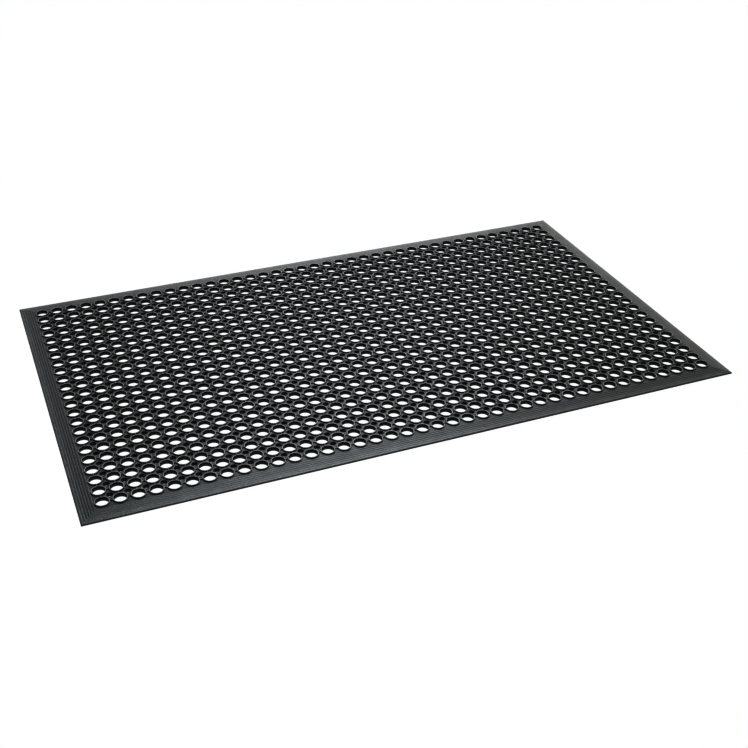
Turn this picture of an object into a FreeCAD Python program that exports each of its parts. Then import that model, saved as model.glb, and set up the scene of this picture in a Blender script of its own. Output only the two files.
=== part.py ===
"""Anti fatigue floor mat: a perforated rubber deck edged with four ribbed ramps.

Frame: origin at the middle of the footprint, on the floor. +X runs along the long
side, +Y across the mat and +Z up. Lengths are in millimetres.
"""

import FreeCAD
import Part
import Sketcher
import os

from FreeCAD import Placement, Rotation, Vector

# Driving dimensions: alias, value and what it measures.
DIMENSIONS = [
    ("mat_length", 1524.0, "outer size along X, 60 in"),
    ("mat_width", 904.0, "outer size along Y, sold as 36 in"),
    ("ring_top", 10.0, "floor to the top of the raised rings, the mat's height"),
    ("web_top", 7.8, "floor to the top of the web between the rings"),
    ("web_bottom", 4.7, "floor to the underside of the web"),
    ("tube_bottom", 0.3, "floor to the lower end of the tubes, so that water can run"),
    ("hole_pitch", 36.5, "square pitch of the large holes"),
    ("hole_columns", 40, "large holes along X"),
    ("hole_rows", 23, "large holes along Y"),
    ("hole_bore", 27.0, "diameter of a large hole"),
    ("ring_outside", 31.5, "outer diameter of the tube and ring round a large hole"),
    ("drain_top_bore", 13.2, "diameter of a drain hole at the web's upper face"),
    ("drain_floor_bore", 8.0, "diameter of a drain hole at the floor"),
    ("foot_top", 17.0, "outer diameter of a foot where it leaves the web"),
    ("foot_floor", 14.0, "outer diameter of a foot on the floor"),
    ("ramp_width", 34.0, "plan width of a ramp, square to its edge"),
    ("lip_height", 3.4, "height of a ramp's outer edge before it is rounded"),
    ("lip_radius", 2.2, "radius on a ramp's outer edge"),
    ("groove_pitch", 5.45, "spacing of the grip grooves up a ramp"),
    ("groove_count", 5, "grip grooves on a ramp"),
    ("groove_mouth", 2.4, "width of a grip groove where it opens"),
    ("groove_depth", 0.45, "depth of a grip groove"),
    ("first_groove", 6.0, "outer edge to the middle of the first groove"),
]

doc = FreeCAD.newDocument("AntiFatigueMat")


def fill_sheet():
    """Put the driving dimensions in the spreadsheet, one aliased cell each."""
    cells = doc.addObject("Spreadsheet::Sheet", "Dimensions")
    for row, (alias, value, meaning) in enumerate(DIMENSIONS, start=1):
        cells.set(f"A{row}", meaning)
        cells.set(f"B{row}", str(value))
        cells.setAlias(f"B{row}", alias)
    doc.recompute()
    return cells


sheet = fill_sheet()


# ---------------------------------------------------------------- edge ramps


def origin_item(body, role):
    """The body's own origin plane or axis that has this role."""
    return next(item for item in body.Origin.OriginFeatures if item.Role == role)


def new_sketch(body, name, plane_role):
    """An empty sketch on one of the body's own origin planes."""
    sketch = body.newObject("Sketcher::SketchObject", name)
    sketch.AttachmentSupport = [(origin_item(body, plane_role), "")]
    sketch.MapMode = "FlatFace"
    return sketch


def add_outline(sketch, corners):
    """Draw a closed outline through the corners and join its ends."""
    count = len(corners)
    for index in range(count):
        start = Vector(*corners[index], 0)
        end = Vector(*corners[(index + 1) % count], 0)
        sketch.addGeometry(Part.LineSegment(start, end), False)
    for index in range(count):
        following = (index + 1) % count
        sketch.addConstraint(Sketcher.Constraint("Coincident", index, 2, following, 1))


def drive(sketch, kind, geometry, value, formula):
    """Add one dimension to the sketch and bind it to the spreadsheet."""
    index = sketch.addConstraint(Sketcher.Constraint(kind, *geometry, value))
    sketch.setExpression(f"Constraints[{index}]", formula)


def plan_sketch(body, length_alias):
    """Plan of a ramp: its long edge outside, and a 45 degree mitre at both ends."""
    half = sheet.get(length_alias) / 2
    width = sheet.ramp_width
    sketch = new_sketch(body, "Plan", "XY_Plane")
    add_outline(sketch, [(-half, 0), (half, 0), (half - width, width), (width - half, width)])
    sketch.addConstraint(Sketcher.Constraint("Horizontal", 0))
    sketch.addConstraint(Sketcher.Constraint("Symmetric", 0, 1, 0, 2, -1, 1))
    sketch.addConstraint(Sketcher.Constraint("Symmetric", 2, 1, 2, 2, -2))
    drive(sketch, "DistanceX", (0, 1, 0, 2), 2 * half, f"Dimensions.{length_alias}")
    inner_length = f"Dimensions.{length_alias} - 2 * Dimensions.ramp_width"
    drive(sketch, "DistanceX", (2, 2, 2, 1), 2 * (half - width), inner_length)
    drive(sketch, "DistanceY", (0, 2, 2, 1), width, "Dimensions.ramp_width")
    return sketch


def slope_sketch(body):
    """Section of the rubber above the slope. Its first line is the slope itself."""
    width = sheet.ramp_width
    lip = sheet.lip_height
    top = sheet.web_top
    sketch = new_sketch(body, "AboveSlope", "YZ_Plane")
    add_outline(sketch, [(0, lip), (width, top), (0, top)])
    sketch.addConstraint(Sketcher.Constraint("Horizontal", 1))
    sketch.addConstraint(Sketcher.Constraint("Vertical", 2))
    sketch.addConstraint(Sketcher.Constraint("PointOnObject", 0, 1, -2))
    drive(sketch, "DistanceY", (-1, 1, 0, 1), lip, "Dimensions.lip_height")
    drive(sketch, "DistanceY", (-1, 1, 0, 2), top, "Dimensions.web_top")
    drive(sketch, "DistanceX", (-1, 1, 0, 2), width, "Dimensions.ramp_width")
    return sketch


def groove_sketch(body):
    """V section of the outermost grip groove, with its mouth on the slope."""
    width = sheet.ramp_width
    lip = sheet.lip_height
    top = sheet.web_top
    middle = sheet.first_groove
    half_mouth = sheet.groove_mouth / 2
    slope = (top - lip) / width
    surface = lip + slope * middle
    sketch = new_sketch(body, "Groove", "YZ_Plane")
    bottom = (middle, surface - sheet.groove_depth)
    outer = (middle - half_mouth, surface - slope * half_mouth)
    inner = (middle + half_mouth, surface + slope * half_mouth)
    add_outline(sketch, [outer, bottom, inner])
    guide = Part.LineSegment(Vector(0, lip, 0), Vector(width, top, 0))
    sketch.addGeometry(guide, True)
    sketch.addConstraint(Sketcher.Constraint("PointOnObject", 3, 1, -2))
    sketch.addConstraint(Sketcher.Constraint("PointOnObject", 0, 1, 3))
    sketch.addConstraint(Sketcher.Constraint("PointOnObject", 2, 1, 3))
    sketch.addConstraint(Sketcher.Constraint("Equal", 0, 1))
    drive(sketch, "DistanceY", (-1, 1, 3, 1), lip, "Dimensions.lip_height")
    drive(sketch, "DistanceY", (-1, 1, 3, 2), top, "Dimensions.web_top")
    drive(sketch, "DistanceX", (-1, 1, 3, 2), width, "Dimensions.ramp_width")
    drive(sketch, "DistanceX", (-1, 1, 1, 1), middle, "Dimensions.first_groove")
    drive(sketch, "Distance", (0, 1, 2, 1), 2 * half_mouth, "Dimensions.groove_mouth")
    drive(sketch, "Distance", (1, 1, 3), sheet.groove_depth, "Dimensions.groove_depth")
    return sketch


def cut_through(body, sketch, name):
    """Cut a section out along the whole ramp, both ways from its middle."""
    pocket = body.newObject("PartDesign::Pocket", name)
    pocket.Profile = sketch
    pocket.SideType = "Symmetric"
    pocket.Type = "ThroughAll"
    pocket.Refine = False
    doc.recompute()
    return pocket


def round_lip(body, bevel):
    """Round the edge between the ramp's upright outer face and its slope."""
    names = []
    for index, edge in enumerate(bevel.Shape.Edges, start=1):
        ends = [vertex.Point for vertex in edge.Vertexes]
        if all(abs(end.y) + abs(end.z - sheet.lip_height) < 0.001 for end in ends):
            names.append(f"Edge{index}")
    rounding = body.newObject("PartDesign::Fillet", "RoundedLip")
    rounding.Base = (bevel, names)
    rounding.setExpression("Radius", "Dimensions.lip_radius")
    rounding.Refine = False
    doc.recompute()
    return rounding


def repeat_grooves(body, groove, slope):
    """Repeat the groove up the slope."""
    row = body.newObject("PartDesign::LinearPattern", "GrooveRow")
    row.Originals = [groove]
    row.Direction = (slope, ["Edge1"])
    row.Mode = "Spacing"
    row.setExpression("Offset", "Dimensions.groove_pitch")
    row.setExpression("Occurrences", "Dimensions.groove_count")
    row.Refine = False
    body.Tip = row
    doc.recompute()
    return row


def make_ramp(label, length_alias, turn, edge_axis, edge_formula):
    """One bevelled edge strip, made with its outer edge on its own X axis.

    It is then turned about Z and its outer edge moved out to the edge of the mat.
    """
    body = doc.addObject("PartDesign::Body", label)
    body.Label = label
    pad = body.newObject("PartDesign::Pad", "FullHeight")
    pad.Profile = plan_sketch(body, length_alias)
    pad.setExpression("Length", "Dimensions.web_top")
    doc.recompute()
    slope = slope_sketch(body)
    bevel = cut_through(body, slope, "Bevel")
    rounding = round_lip(body, bevel)
    groove = cut_through(body, groove_sketch(body), "FirstGroove")
    grooves = repeat_grooves(body, groove, slope)
    volumes = [feature.Shape.Volume for feature in (pad, bevel, rounding, groove, grooves)]
    if volumes != sorted(volumes, reverse=True) or len(set(volumes)) < len(volumes):
        raise RuntimeError(f"{label}: a cut removed nothing, volumes {volumes}")
    body.Placement = Placement(Vector(0, 0, 0), Rotation(Vector(0, 0, 1), turn))
    body.setExpression(f"Placement.Base.{edge_axis}", edge_formula)
    return body


# ---------------------------------------------------------------- perforated deck


def square_grid(columns, rows):
    """Grid points at the hole pitch, centred on the origin."""
    pitch = sheet.hole_pitch
    for column in range(columns):
        for row in range(rows):
            x = (column - (columns - 1) / 2) * pitch
            y = (row - (rows - 1) / 2) * pitch
            yield Vector(x, y, 0)


def web_plate():
    """The flat web that carries the rings. The ramps take up the rest of the footprint."""
    length = sheet.mat_length - 2 * sheet.ramp_width
    width = sheet.mat_width - 2 * sheet.ramp_width
    corner = Vector(-length / 2, -width / 2, sheet.web_bottom)
    return Part.makeBox(length, width, sheet.web_top - sheet.web_bottom, corner)


def cylinders(points, diameter, low, high):
    """An upright cylinder at each point, from one height to another."""
    lift = Vector(0, 0, low)
    return [Part.makeCylinder(diameter / 2, high - low, point + lift) for point in points]


def cones(points, low_diameter, high_diameter, high):
    """An upright cone at each point, standing on the floor."""
    return [Part.makeCone(low_diameter / 2, high_diameter / 2, high, point) for point in points]


def make_deck():
    """Web, tubes and feet as one moulding, pierced by the large holes and the drains.

    A tube stands round each large hole and ends above in a raised ring. Between each
    four of them a hollow foot runs down to the floor, with a tapered drain through it.
    """
    large = list(square_grid(sheet.hole_columns, sheet.hole_rows))
    small = list(square_grid(sheet.hole_columns - 1, sheet.hole_rows - 1))
    tubes = cylinders(large, sheet.ring_outside, sheet.tube_bottom, sheet.ring_top)
    feet = cones(small, sheet.foot_floor, sheet.foot_top, sheet.web_bottom)
    bores = cylinders(large, sheet.hole_bore, 0, sheet.ring_top)
    drains = cones(small, sheet.drain_floor_bore, sheet.drain_top_bore, sheet.web_top)
    deck = doc.addObject("Part::Feature", "perforated_deck")
    deck.Label = "perforated_deck"
    deck.Shape = web_plate().fuse(tubes + feet).cut(bores + drains)
    deck.Placement = Placement(Vector(0, 0, 0), Rotation())
    return deck


# ---------------------------------------------------------------- the whole mat


def check_document(sub_parts):
    """Stop if any object failed, or if a sub-part isn't one sound solid."""
    for item in doc.Objects:
        if "Invalid" in item.State or "Error" in item.State:
            raise RuntimeError(f"{item.Label} did not compute: {item.State}")
    for part in sub_parts:
        shape = part.Shape
        if shape.isNull() or not shape.isValid() or len(shape.Solids) != 1:
            raise RuntimeError(f"{part.Label} isn't one valid solid")


ramps = [
    make_ramp("front_ramp", "mat_length", 0, "y", "-Dimensions.mat_width / 2"),
    make_ramp("right_ramp", "mat_width", 90, "x", "Dimensions.mat_length / 2"),
    make_ramp("rear_ramp", "mat_length", 180, "y", "Dimensions.mat_width / 2"),
    make_ramp("left_ramp", "mat_width", 270, "x", "-Dimensions.mat_length / 2"),
]
sub_parts = [make_deck()] + ramps
doc.recompute()
check_document(sub_parts)

os.makedirs("parts", exist_ok=True)
for part in sub_parts:
    part.Shape.exportStep(f"parts/{part.Label}.step")
    box = part.Shape.BoundBox
    size = [round(extent, 2) for extent in (box.XLength, box.YLength, box.ZLength)]
    print(part.Label, size, "mm,", round(part.Shape.Volume / 1000), "cm3")
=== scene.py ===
"""Looks of the anti fatigue mat: moulded rubber deck, four ribbed ramps, white studio.

The scene is in metres, in the frame of the CAD model. Shapes are worked out in
millimetres and scaled by MM. The front of the mat faces -Y.
"""

import math

import bpy
import numpy as np
from mathutils import Matrix, Vector, noise


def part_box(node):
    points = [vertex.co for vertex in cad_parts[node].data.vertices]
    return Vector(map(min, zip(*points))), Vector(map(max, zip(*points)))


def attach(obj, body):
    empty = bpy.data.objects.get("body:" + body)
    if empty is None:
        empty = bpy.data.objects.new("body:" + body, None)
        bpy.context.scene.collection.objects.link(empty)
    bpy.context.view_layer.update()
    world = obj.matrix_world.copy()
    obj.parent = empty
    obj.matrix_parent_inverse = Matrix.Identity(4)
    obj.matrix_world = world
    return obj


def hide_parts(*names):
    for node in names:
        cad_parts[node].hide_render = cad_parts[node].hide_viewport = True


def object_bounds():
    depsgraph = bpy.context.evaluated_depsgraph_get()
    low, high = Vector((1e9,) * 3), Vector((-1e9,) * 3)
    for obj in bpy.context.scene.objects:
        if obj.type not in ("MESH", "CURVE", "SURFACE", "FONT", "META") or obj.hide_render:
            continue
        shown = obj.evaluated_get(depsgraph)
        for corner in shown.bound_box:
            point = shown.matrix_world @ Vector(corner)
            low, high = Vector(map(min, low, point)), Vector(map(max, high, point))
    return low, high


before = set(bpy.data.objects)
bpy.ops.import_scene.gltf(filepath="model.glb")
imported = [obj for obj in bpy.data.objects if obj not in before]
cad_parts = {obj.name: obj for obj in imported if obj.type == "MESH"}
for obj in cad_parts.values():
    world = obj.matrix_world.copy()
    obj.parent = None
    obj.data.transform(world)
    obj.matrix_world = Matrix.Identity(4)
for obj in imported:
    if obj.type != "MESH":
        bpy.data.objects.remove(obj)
cad_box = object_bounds()

MM = 0.001

# The hole pattern, which repeats at one pitch both ways.
PITCH = 36.5
COLUMNS = 40
ROWS = 23

# Points round a ring, and round a quarter of it.
DIRECTIONS = 32
QUARTER = DIRECTIONS // 4

# Heights above the floor. The ramps' inner edges are level with the web.
RING_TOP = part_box("perforated_deck")[1][2] / MM
WEB_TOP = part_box("front_ramp")[1][2] / MM
WEB_BOTTOM = 4.7
TUBE_BOTTOM = 0.3

# Plan radii of the bore, the tube round it, and the drain and foot between four tubes.
BORE = 13.5
TUBE = 15.75
DRAIN_RIM = 7.0
FOOT_ROOT = 8.5

# Section through a ring and its tube, from the web over the ring, down the bore and back
# up the outside of the tube to the web's underside: radius and height.
RING_SECTION = [
    (TUBE + 0.25, WEB_TOP),
    (TUBE + 0.05, WEB_TOP + 0.25),
    (TUBE - 0.05, RING_TOP - 0.3),
    (TUBE - 0.2, RING_TOP - 0.06),
    (TUBE - 0.35, RING_TOP),
    (BORE + 0.3, RING_TOP),
    (BORE + 0.12, RING_TOP - 0.1),
    (BORE, RING_TOP - 0.4),
    (BORE, TUBE_BOTTOM + 0.3),
    (BORE + 0.25, TUBE_BOTTOM),
    (TUBE - 0.25, TUBE_BOTTOM),
    (TUBE, TUBE_BOTTOM + 0.3),
    (TUBE, WEB_BOTTOM),
]

# Section through a drain and its foot: down the tapered drain, under the foot and up its side.
DRAIN_SECTION = [
    (DRAIN_RIM, WEB_TOP),
    (6.75, WEB_TOP - 0.1),
    (6.6, WEB_TOP - 0.4),
    (4.15, 0.3),
    (4.4, 0.0),
    (6.7, 0.0),
    (7.0, 0.3),
    (FOOT_ROOT, WEB_BOTTOM),
]

# Section across a bar that bridges two rings: distance from its middle and height.
RIB_SECTION = [
    (-1.2, WEB_TOP - 0.2),
    (-1.0, RING_TOP - 0.75),
    (-0.6, RING_TOP - 0.4),
    (0.6, RING_TOP - 0.4),
    (1.0, RING_TOP - 0.75),
    (1.2, WEB_TOP - 0.2),
]

# Where points lie along the straight side of a cell whose corner is square, from the
# middle of the side towards the corner.
SIDE_SHARES = (0.0, 0.27, 0.54, 0.8)

# Points closer than the grain merge when patches of mesh are joined. The shift keeps the
# places used here away from the halfway marks of the rounding.
WELD_GRAIN = 0.002
WELD_SHIFT = 0.37

# Faces that meet at more than this angle keep a crisp edge between them.
CRISP_ANGLE = math.radians(35)


# ---------------------------------------------------------------- mesh helpers


def strip_faces(loops, around, closed):
    """Quads between neighbouring loops of points, each loop with the same count."""
    loop = np.arange(loops - 1)[:, None]
    step = np.arange(around if closed else around - 1)[None, :]
    following = (step + 1) % around
    corners = [
        loop * around + step,
        loop * around + following,
        (loop + 1) * around + following,
        (loop + 1) * around + step,
    ]
    grids = [np.broadcast_to(corner, (loops - 1, step.size)) for corner in corners]
    return np.stack(grids, -1).reshape(-1, 4)


def copies(points, faces, offsets):
    """The same patch of mesh at many places."""
    count = len(points)
    moved = points[None, :, :] + offsets[:, None, :]
    shifted = faces[None, :, :] + (np.arange(len(offsets)) * count)[:, None, None]
    return moved.reshape(-1, 3), shifted.reshape(-1, faces.shape[1])


def weld(patches):
    """Join patches of mesh into one, merging the points that meet."""
    points = []
    faces = []
    count = 0
    for patch_points, patch_faces in patches:
        points.append(patch_points)
        faces.append(patch_faces + count)
        count += len(patch_points)
    points = np.concatenate(points)
    faces = np.concatenate(faces)
    keys = np.round(points / WELD_GRAIN + WELD_SHIFT).astype(np.int64)
    _, first, where = np.unique(keys, axis=0, return_index=True, return_inverse=True)
    return points[first], where.reshape(-1)[faces]


def quad_mesh(name, points, faces):
    """A Blender mesh of quads from points in millimetres."""
    mesh = bpy.data.meshes.new(name)
    mesh.vertices.add(len(points))
    mesh.vertices.foreach_set("co", (points * MM).astype(np.float32).ravel())
    mesh.loops.add(faces.size)
    mesh.loops.foreach_set("vertex_index", faces.astype(np.int32).ravel())
    mesh.polygons.add(len(faces))
    mesh.polygons.foreach_set("loop_start", np.arange(0, faces.size, 4, dtype=np.int32))
    mesh.polygons.foreach_set("use_smooth", np.ones(len(faces), dtype=bool))
    mesh.update(calc_edges=True)
    mesh.validate()
    mesh.set_sharp_from_angle(angle=CRISP_ANGLE)
    return mesh


def add_piece(name, mesh, node, material):
    """Show the mesh in place of a CAD node, riding on the row's one body."""
    piece = bpy.data.objects.new(name, mesh)
    bpy.context.scene.collection.objects.link(piece)
    mesh.materials.append(material)
    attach(piece, "root")
    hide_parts(node)


# ---------------------------------------------------------------- perforated deck


def quadrant_edge(east, north, rim):
    """Outline of a cell over one quadrant, from its east side round to its north side.

    rim is the radius of the quarter circle that a drain or foot takes out of the corner.
    None leaves the corner square.
    """
    if rim is None:
        east_side = [(east, north * share) for share in SIDE_SHARES]
        north_side = [(east * share, north) for share in reversed(SIDE_SHARES)]
        return east_side + [(east, north)] + north_side
    outline = [(east, 0.0), (east, (north - rim) / 2)]
    arc_steps = QUARTER // 2
    for step in range(arc_steps + 1):
        turn = math.radians(270 - 90 * step / arc_steps)
        outline.append((east + rim * math.cos(turn), north + rim * math.sin(turn)))
    outline += [((east - rim) / 2, north), (0.0, north)]
    return outline


def cell_outline(reach, drains, rim):
    """Outline of a cell: points anticlockwise from its east side, one to each direction.

    reach is how far it extends to the east, north, west and south. drains says which of
    its north-east, north-west, south-west and south-east corners hold a drain.
    """
    points = []
    for quadrant in range(4):
        ahead = reach[quadrant]
        left = reach[(quadrant + 1) % 4]
        corner = rim if drains[quadrant] else None
        edge = quadrant_edge(ahead, left, corner)
        turn = quadrant * math.pi / 2
        cos, sin = round(math.cos(turn)), round(math.sin(turn))
        points += [(x * cos - y * sin, x * sin + y * cos) for x, y in edge[:-1]]
    return np.array(points)


def circle(radius, count, height):
    """Points round a level circle."""
    turn = np.arange(count) * 2 * math.pi / count
    return np.stack([radius * np.cos(turn), radius * np.sin(turn), np.full(count, height)], -1)


def at_height(outline, height):
    """A plan outline lifted to a height."""
    return np.column_stack([outline, np.full(len(outline), height)])


def cell_patch(reach, drains):
    """One cell of the deck: web, ring, bore, tube and the web's underside."""
    loops = [at_height(cell_outline(reach, drains, DRAIN_RIM), WEB_TOP)]
    loops += [circle(radius, DIRECTIONS, height) for radius, height in RING_SECTION]
    loops.append(at_height(cell_outline(reach, drains, FOOT_ROOT), WEB_BOTTOM))
    return np.concatenate(loops), strip_faces(len(loops), DIRECTIONS, True)


def cell_kind(index, count, margin):
    """Reach of a cell backwards and forwards along one axis, and whether cells adjoin it."""
    before = PITCH / 2 if index > 0 else margin
    after = PITCH / 2 if index < count - 1 else margin
    return before, after, index > 0, index < count - 1


def deck_cells(margin_x, margin_y):
    """Every cell of the deck, made once for each kind and then copied."""
    kinds = {}
    for column in range(COLUMNS):
        for row in range(ROWS):
            west, east, joins_west, joins_east = cell_kind(column, COLUMNS, margin_x)
            south, north, joins_south, joins_north = cell_kind(row, ROWS, margin_y)
            reach = (east, north, west, south)
            drains = (
                joins_east and joins_north,
                joins_west and joins_north,
                joins_west and joins_south,
                joins_east and joins_south,
            )
            centre = (
                (column - (COLUMNS - 1) / 2) * PITCH,
                (row - (ROWS - 1) / 2) * PITCH,
                0.0,
            )
            kinds.setdefault((reach, drains), []).append(centre)
    patches = []
    for (reach, drains), centres in kinds.items():
        points, faces = cell_patch(reach, drains)
        patches.append(copies(points, faces, np.array(centres)))
        patches += outer_edges(reach, drains, np.array(centres))
    return patches


def outer_edges(reach, drains, centres):
    """Upright edges of the cells that lie along the deck's outside."""
    patches = []
    outline = cell_outline(reach, drains, DRAIN_RIM)
    for side in range(4):
        if drains[side] or drains[side - 1]:
            continue
        first = side * QUARTER - QUARTER // 2
        spots = outline[[(first + step) % DIRECTIONS for step in range(QUARTER + 1)]]
        loops = np.concatenate([at_height(spots, WEB_BOTTOM), at_height(spots, WEB_TOP)])
        faces = strip_faces(2, QUARTER + 1, False)
        patches.append(copies(loops, faces, centres))
    return patches


def drain_patches():
    """The drains and their feet, one between each four rings."""
    around = DIRECTIONS // 2
    loops = [circle(radius, around, height) for radius, height in DRAIN_SECTION]
    points = np.concatenate(loops)
    faces = strip_faces(len(loops), around, True)
    centres = [
        ((column - (COLUMNS - 2) / 2) * PITCH, (row - (ROWS - 2) / 2) * PITCH, 0.0)
        for column in range(COLUMNS - 1)
        for row in range(ROWS - 1)
    ]
    return [copies(points, faces, np.array(centres))]


def rib_bar():
    """A short rounded bar that joins two rings, along X and centred between them."""
    half_length = PITCH / 2 - (BORE + TUBE) / 2
    ends_x = (half_length, -half_length)
    loops = [np.array([(x, y, z) for y, z in RIB_SECTION]) for x in ends_x]
    sides = strip_faces(2, len(RIB_SECTION), True)
    # Two quads close each end of the six-sided bar.
    ends = np.array([[0, 5, 4, 1], [1, 4, 3, 2], [6, 7, 10, 11], [7, 8, 9, 10]])
    return np.concatenate(loops), np.concatenate([sides, ends])


def rib_patches():
    """The bars that bridge the gaps between neighbouring rings."""
    points, faces = rib_bar()
    quarter_turn = np.array([[0, 1, 0], [-1, 0, 0], [0, 0, 1]])
    along_x = [
        ((column - (COLUMNS - 2) / 2) * PITCH, (row - (ROWS - 1) / 2) * PITCH, 0.0)
        for column in range(COLUMNS - 1)
        for row in range(ROWS)
    ]
    along_y = [
        ((column - (COLUMNS - 1) / 2) * PITCH, (row - (ROWS - 2) / 2) * PITCH, 0.0)
        for column in range(COLUMNS)
        for row in range(ROWS - 1)
    ]
    return [
        copies(points, faces, np.array(along_x)),
        copies(points @ quarter_turn, faces, np.array(along_y)),
    ]


def build_deck(material):
    """The whole deck as one closed moulding."""
    low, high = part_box("perforated_deck")
    margin_x = (high[0] - low[0]) / MM / 2 - (COLUMNS - 1) / 2 * PITCH
    margin_y = (high[1] - low[1]) / MM / 2 - (ROWS - 1) / 2 * PITCH
    points, faces = weld(deck_cells(margin_x, margin_y) + drain_patches())
    rib_points, rib_faces = weld(rib_patches())
    faces = np.concatenate([faces, rib_faces + len(points)])
    points = np.concatenate([points, rib_points])
    mesh = quad_mesh("deck", points, faces)
    add_piece("deck", mesh, "perforated_deck", material)


# ---------------------------------------------------------------- ramps

GROOVES = 5
GROOVE_PITCH = 5.45
FIRST_GROOVE = 6.0
GROOVE_DEPTH = 0.42

# A groove's rounded section: distance from its middle and share of its full depth.
GROOVE_SECTION = [(-1.5, 0.0), (-0.8, 0.45), (0.0, 1.0), (0.8, 0.45), (1.5, 0.0)]

# The lip rounds the outer edge. Its arc stops just short of level, and its top is as high
# as the slope is at the reach, a share of the lip's radius.
LIP_HEIGHT = 3.4
LIP_RADIUS = 2.2
LIP_STEPS = 6
LIP_STEP_ANGLE = 16.4
LIP_REACH = 0.8

# The outer foot and the inner edge are slightly broken, not knife sharp.
FOOT_BREAK = 0.3
INNER_BREAK_WIDTH = 0.4
INNER_BREAK_DROP = 0.05
INNER_EDGE_DROP = 0.25

# Waviness of the moulded edge: how far apart its swells are, how far they stray sideways
# and what share of that they rise. Points below the lowest wavy height only shift sideways,
# so that the ramp rests on the floor. The seed makes it the same on every run.
WAVE_LENGTH = 160
WAVE_REACH = 0.35
WAVE_RISE = 0.3
LOWEST_WAVY = 1.0
WAVE_SEED = 11


def ramp_section(width, top):
    """Section of a ramp from its outer foot over the rounded lip and ribs to its inner face."""
    slope = (top - LIP_HEIGHT) / width
    lip_top = LIP_HEIGHT + slope * LIP_RADIUS * LIP_REACH
    section = [(FOOT_BREAK, 0.0), (0.0, FOOT_BREAK)]
    for step in range(LIP_STEPS):
        turn = math.radians(90 - LIP_STEP_ANGLE * step)
        height = lip_top - LIP_RADIUS * (1 - math.cos(turn))
        section.append((LIP_RADIUS * (1 - math.sin(turn)), height))
    for groove in range(GROOVES):
        middle = FIRST_GROOVE + groove * GROOVE_PITCH
        for shift, share in GROOVE_SECTION:
            inward = middle + shift
            section.append((inward, LIP_HEIGHT + slope * inward - GROOVE_DEPTH * share))
    section.append((width - INNER_BREAK_WIDTH, top - INNER_BREAK_DROP))
    section.append((width, top - INNER_EDGE_DROP))
    section.append((width, 0.0))
    return section


def unevenness(place, inward, width):
    """Slight waviness of moulded rubber, which fades out towards the deck."""
    fade = 1.0 - inward / width
    shift = noise.noise_vector(place * (1 / WAVE_LENGTH)) * WAVE_REACH * fade
    rise = shift.z * WAVE_RISE if place.z > LOWEST_WAVY else 0.0
    return Vector((shift.x, shift.y, rise))


def build_ramp(node, turn, length, edge, material):
    """One edge strip, mitred at both ends, with its outer edge on the mat's outside."""
    low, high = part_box(node)
    width = min(high[0] - low[0], high[1] - low[1]) / MM
    section = ramp_section(width, (high[2] - low[2]) / MM)
    around = len(section)
    stations = round(length / PITCH) + 1
    place = Matrix.Translation(edge) @ Matrix.Rotation(math.radians(turn), 4, "Z")
    points = []
    for share in np.linspace(1.0, -1.0, stations):
        for inward, height in section:
            spot = place @ Vector((share * (length / 2 - inward), inward, height))
            points.append((spot + unevenness(spot, inward, width)) * MM)
    faces = strip_faces(stations, around, True).tolist()
    faces.append(list(range(around - 1, -1, -1)))
    faces.append(list(range((stations - 1) * around, stations * around)))
    mesh = bpy.data.meshes.new(node)
    mesh.from_pydata(points, [], faces)
    mesh.validate()
    mesh.shade_smooth()
    mesh.set_sharp_from_angle(angle=CRISP_ANGLE)
    add_piece("ribbed_" + node, mesh, node, material)


def build_ramps(material):
    """The four edge strips, each turned to its own side of the mat."""
    noise.seed_set(WAVE_SEED)
    length = (cad_box[1][0] - cad_box[0][0]) / MM
    width = (cad_box[1][1] - cad_box[0][1]) / MM
    build_ramp("front_ramp", 0, length, Vector((0, -width / 2, 0)), material)
    build_ramp("right_ramp", 90, width, Vector((length / 2, 0, 0)), material)
    build_ramp("rear_ramp", 180, length, Vector((0, width / 2, 0)), material)
    build_ramp("left_ramp", 270, width, Vector((-length / 2, 0, 0)), material)


# ---------------------------------------------------------------- materials

# Noise keeps mostly between these values.
NOISE_LOW = 0.3
NOISE_HIGH = 0.7


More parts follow.
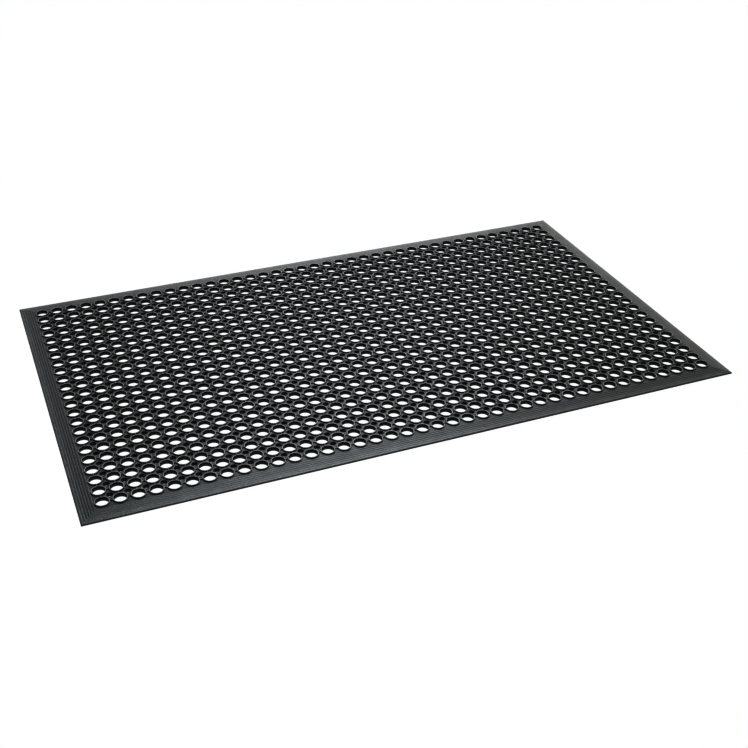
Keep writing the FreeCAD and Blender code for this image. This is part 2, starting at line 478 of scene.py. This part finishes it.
class Nodes:
    """A material's or a world's node tree, with short calls for the nodes used here."""

    def __init__(self, owner, coordinates):
        owner.use_nodes = True
        self.tree = owner.node_tree
        self.place = self.add("TexCoord").outputs[coordinates]

    def add(self, kind):
        """A new node."""
        return self.tree.nodes.new("ShaderNode" + kind)

    def feed(self, socket, value):
        """Set an input to a number or colour, or link it to another node's output."""
        if isinstance(value, bpy.types.NodeSocket):
            self.tree.links.new(value, socket)
        else:
            socket.default_value = value

    def noise(self, scale, detail, roughness=0.55):
        """Noise from 0 to 1 at so many features to the metre."""
        node = self.add("TexNoise")
        self.feed(node.inputs["Vector"], self.place)
        self.feed(node.inputs["Scale"], scale)
        self.feed(node.inputs["Detail"], detail)
        self.feed(node.inputs["Roughness"], roughness)
        return node.outputs["Fac"]

    def mottle(self, scale, detail, start=0.0, end=1.0):
        """Soft-edged patches of noise that fill a range of values."""
        return self.ranged(self.noise(scale, detail), NOISE_LOW, NOISE_HIGH, start, end)

    def ranged(self, value, low, high, start=0.0, end=1.0):
        """Map a value from one range to another, held at the ends."""
        node = self.add("MapRange")
        self.feed(node.inputs["Value"], value)
        self.feed(node.inputs["From Min"], low)
        self.feed(node.inputs["From Max"], high)
        self.feed(node.inputs["To Min"], start)
        self.feed(node.inputs["To Max"], end)
        return node.outputs["Result"]

    def math(self, operation, first, second):
        """One arithmetic step."""
        node = self.add("Math")
        node.operation = operation
        self.feed(node.inputs[0], first)
        self.feed(node.inputs[1], second)
        return node.outputs["Value"]

    def mixed(self, factor, first, second):
        """Blend two colours."""
        node = self.add("Mix")
        node.data_type = "RGBA"
        self.feed(node.inputs["Factor"], factor)
        self.feed(node.inputs["A"], first)
        self.feed(node.inputs["B"], second)
        return node.outputs["Result"]

    def bump(self, height, strength, distance, below=None):
        """Bump from a height, on top of another bump where one is given."""
        node = self.add("Bump")
        self.feed(node.inputs["Strength"], strength)
        self.feed(node.inputs["Distance"], distance)
        self.feed(node.inputs["Height"], height)
        if below is not None:
            self.feed(node.inputs["Normal"], below)
        return node.outputs["Normal"]

    def part(self, vector, axis):
        """One part of a vector: X, Y or Z."""
        node = self.add("SeparateXYZ")
        self.feed(node.inputs["Vector"], vector)
        return node.outputs[axis]

    def upward(self):
        """How far the surface faces up: 1 on a level face and 0 on an upright wall."""
        return self.part(self.add("NewGeometry").outputs["True Normal"], "Z")

    def ray(self, kind):
        """1 for rays of one kind and 0 for the others."""
        return self.add("LightPath").outputs["Is " + kind + " Ray"]

    def glow(self, kind, colour, strength):
        """A shader that gives out light: Emission on a surface, Background in a world."""
        node = self.add(kind)
        self.feed(node.inputs["Color"], colour)
        self.feed(node.inputs["Strength"], strength)
        return node.outputs[0]

    def show(self, to_light, to_camera, output):
        """Give the camera one shader and every other ray another."""
        choice = self.add("MixShader")
        self.feed(choice.inputs["Fac"], self.ray("Camera"))
        self.feed(choice.inputs[1], to_light)
        self.feed(choice.inputs[2], to_camera)
        self.feed(self.tree.nodes[output].inputs["Surface"], choice.outputs["Shader"])


# Linear colours of the black rubber: its two cloudy shades and the fine speckle on them;
# painted shade for the walls of its holes and painted floor bounce light for their feet; and
# the grey of scuffed rubber, which is also a painted highlight on ring crests and ramp lips.
RUBBER_DARK = (0.030, 0.032, 0.033, 1)
RUBBER_PALE = (0.039, 0.041, 0.042, 1)
RUBBER_SPECK = (0.056, 0.058, 0.059, 1)
PAINTED_WALL_SHADE = (0.012, 0.0125, 0.013, 1)
PAINTED_WALL_BOUNCE_LIGHT = (0.085, 0.087, 0.088, 1)
SCUFF_AND_HIGHLIGHT_GREY = (0.2, 0.205, 0.207, 1)

# Faces whose normal rises less than the first count as walls, more than the second as level.
UPRIGHT = 0.3
LEVEL = 0.9

# Heights in metres between which the walls grow paler on their way down: painted light bounced
# up from the floor.
PALING_FROM = 0.0085
PALING_TO = 0.0005

# Share of the speckle, roughness of level faces and what walls add to it, gloss of walls, and
# gloss added on the scuffed band that also carries the painted highlight.
SPECK_SHARE = 0.3
SATIN_LEAST = 0.4
SATIN_MOST = 0.48
WALL_ROUGHNESS = 0.15
WALL_GLOSS = 0.35
SCUFF_GLOSS = 0.25


def rubber(name, scuff_and_highlight_from, scuff_and_highlight_to, scuff_and_highlight_share, gloss):
    """Black moulded rubber, satin above and matt on its walls, greyed where shoes scuff it and
    where a highlight is painted.

    The grey sets in between two heights, the first without it and the second with it in full.
    The walls get painted shade, paling low down with painted light bounced from the floor.
    """
    material = bpy.data.materials.new(name)
    nodes = Nodes(material, "Object")
    height = nodes.part(nodes.place, "Z")
    facing = nodes.ranged(nodes.upward(), UPRIGHT, LEVEL)
    wall = nodes.math("SUBTRACT", 1.0, facing)

    cloud = nodes.mottle(scale=9.0, detail=5.0)
    speck = nodes.mottle(scale=420.0, detail=3.0)
    colour = nodes.mixed(cloud, RUBBER_DARK, RUBBER_PALE)
    colour = nodes.mixed(nodes.math("MULTIPLY", speck, SPECK_SHARE), colour, RUBBER_SPECK)

    low = nodes.ranged(height, PALING_FROM, PALING_TO)
    # Painted shade: upright faces get a darker colour than level ones.
    colour = nodes.mixed(wall, colour, PAINTED_WALL_SHADE)
    # Painted light: lower down, the walls grow paler as if lit from the floor.
    colour = nodes.mixed(nodes.math("MULTIPLY", low, wall), colour, PAINTED_WALL_BOUNCE_LIGHT)

    # Partly real scuffing and partly a painted highlight: grey on the ring crests and the ramp
    # lip.
    edge = nodes.ranged(height, scuff_and_highlight_from, scuff_and_highlight_to)
    patchy = nodes.noise(scale=60.0, detail=6.0, roughness=0.7)
    scuff = nodes.ranged(patchy, 0.35, 0.65, 0.3, 1.0)
    scuff_and_highlight = nodes.math("MULTIPLY", nodes.math("MULTIPLY", edge, scuff), facing)
    scuff_and_highlight = nodes.math("MULTIPLY", scuff_and_highlight, scuff_and_highlight_share)
    colour = nodes.mixed(scuff_and_highlight, colour, SCUFF_AND_HIGHLIGHT_GREY)

    satin = nodes.mottle(35.0, 5.0, SATIN_LEAST, SATIN_MOST)
    rough = nodes.math("ADD", satin, nodes.ranged(facing, 0.0, 1.0, WALL_ROUGHNESS, 0.0))
    shine = nodes.ranged(facing, 0.0, 1.0, WALL_GLOSS, gloss)
    shine = nodes.math("ADD", shine, nodes.math("MULTIPLY", scuff_and_highlight, SCUFF_GLOSS))

    fine = nodes.noise(scale=1500.0, detail=2.0)
    broad = nodes.noise(scale=120.0, detail=3.0)
    grain = nodes.bump(fine, strength=0.2, distance=0.0002)
    normal = nodes.bump(broad, strength=0.15, distance=0.0004, below=grain)

    surface = nodes.tree.nodes["Principled BSDF"]
    nodes.feed(surface.inputs["Base Color"], colour)
    nodes.feed(surface.inputs["Roughness"], rough)
    nodes.feed(surface.inputs["Specular IOR Level"], shine)
    nodes.feed(surface.inputs["Normal"], normal)
    return material


# ---------------------------------------------------------------- studio

WHITE = (1, 1, 1, 1)
OFF_WHITE = (0.97, 0.97, 0.97, 1)
COOL = (0.92, 1.0, 1.06, 1)
WARM = (1.03, 1.0, 0.95, 1)
LAMP_COLOUR = (0.94, 1.0, 1.05)

# The floor lies a little below the mat, so that the two don't share a plane.
FLOOR_HALF = 7.0
FLOOR_HEIGHT = -0.0002
FLOOR_GLOW = 1.15


def build_floor():
    """A plain floor that glows evenly, so that it is white under the mat and round it."""
    material = bpy.data.materials.new("studio_white")
    nodes = Nodes(material, "Object")
    shade = nodes.mixed(nodes.noise(scale=0.8, detail=2.0), OFF_WHITE, WHITE)
    soft = nodes.glow("Emission", shade, FLOOR_GLOW)
    white = nodes.glow("Emission", WHITE, 1.0)
    nodes.show(soft, white, "Material Output")
    corners = [
        (-FLOOR_HALF, -FLOOR_HALF, 0),
        (FLOOR_HALF, -FLOOR_HALF, 0),
        (FLOOR_HALF, FLOOR_HALF, 0),
        (-FLOOR_HALF, FLOOR_HALF, 0),
    ]
    mesh = bpy.data.meshes.new("floor")
    mesh.from_pydata(corners, [], [(0, 1, 2, 3)])
    mesh.materials.append(material)
    floor = bpy.data.objects.new("floor", mesh)
    floor.location.z = FLOOR_HEIGHT
    bpy.context.scene.collection.objects.link(floor)


def build_world():
    """White to the camera. For light, a soft room, brightest behind the mat and to its right.

    Reflections also get a bright front, so that the mat reads well from its other sides.
    """
    world = bpy.data.worlds.new("studio")
    bpy.context.scene.world = world
    nodes = Nodes(world, "Generated")
    across = nodes.part(nodes.place, "X")
    deep = nodes.part(nodes.place, "Y")
    # Strengths by direction: behind the mat, to its right, and in front of it.
    behind = nodes.ranged(deep, 0.0, 0.9, 0.35, 1.9)
    right = nodes.ranged(across, -0.5, 0.5, 0.32, 1.45)
    before = nodes.ranged(deep, 0.3, -0.5, 0.0, 1.4)
    strength = nodes.math("MULTIPLY", behind, right)
    extra = nodes.math("MULTIPLY", before, nodes.ray("Glossy"))
    strength = nodes.math("ADD", strength, extra)
    tint = nodes.mixed(nodes.ranged(across, -0.4, 0.2), COOL, WARM)
    room = nodes.glow("Background", tint, strength)
    white = nodes.glow("Background", WHITE, 1.0)
    nodes.show(room, white, "World Output")


def softbox(name, place, size, power):
    """A large soft lamp that faces the middle of the mat."""
    lamp = bpy.data.lights.new(name, "AREA")
    lamp.shape = "RECTANGLE"
    lamp.size, lamp.size_y = size
    lamp.energy = power
    lamp.color = LAMP_COLOUR
    holder = bpy.data.objects.new(name, lamp)
    holder.location = place
    holder.rotation_euler = (-holder.location).to_track_quat("-Z", "Y").to_euler()
    bpy.context.scene.collection.objects.link(holder)


# The camera stands at the front left, above the mat.
CAMERA_PLACE = (-0.8815, -2.1942, 1.4231)
CAMERA_AIM = (-0.0296, -0.1499, 0.0)
CAMERA_ROLL = math.radians(0.87)
LENS_LENGTH = 53.956
SENSOR_WIDTH = 36.0


def build_camera():
    """A slightly long lens from the front left, looking down at the mat."""
    lens = bpy.data.cameras.new("camera")
    lens.lens = LENS_LENGTH
    lens.sensor_width = SENSOR_WIDTH
    camera = bpy.data.objects.new("camera", lens)
    camera.location = CAMERA_PLACE
    aim = Vector(CAMERA_AIM) - camera.location
    facing = aim.to_track_quat("-Z", "Y").to_matrix().to_4x4()
    roll = Matrix.Rotation(CAMERA_ROLL, 4, "Z")
    camera.matrix_world = Matrix.Translation(camera.location) @ facing @ roll
    bpy.context.scene.collection.objects.link(camera)
    bpy.context.scene.camera = camera


# ---------------------------------------------------------------- the whole scene

# Shoes scuff the ring crests of the deck and the low outer edge of the ramps. The grey there is
# also a painted highlight.
build_deck(rubber("deck_rubber", scuff_and_highlight_from=0.0093, scuff_and_highlight_to=0.0099, scuff_and_highlight_share=0.9, gloss=0.35))
build_ramps(rubber("ramp_rubber", scuff_and_highlight_from=0.0054, scuff_and_highlight_to=0.0044, scuff_and_highlight_share=0.22, gloss=0.5))
build_floor()
build_world()
softbox("strip", place=(0.55, 1.395, 2.598), size=(1.6, 3.2), power=128.0)
softbox("fill", place=(-0.7, -1.9, 2.6), size=(2.4, 1.4), power=16.0)
build_camera()

# A plain view. The gamma darkens pixels that are part rubber and part floor, so that the
# holes have crisp dark rims.
bpy.context.scene.view_settings.view_transform = "Standard"
bpy.context.scene.view_settings.gamma = 0.5
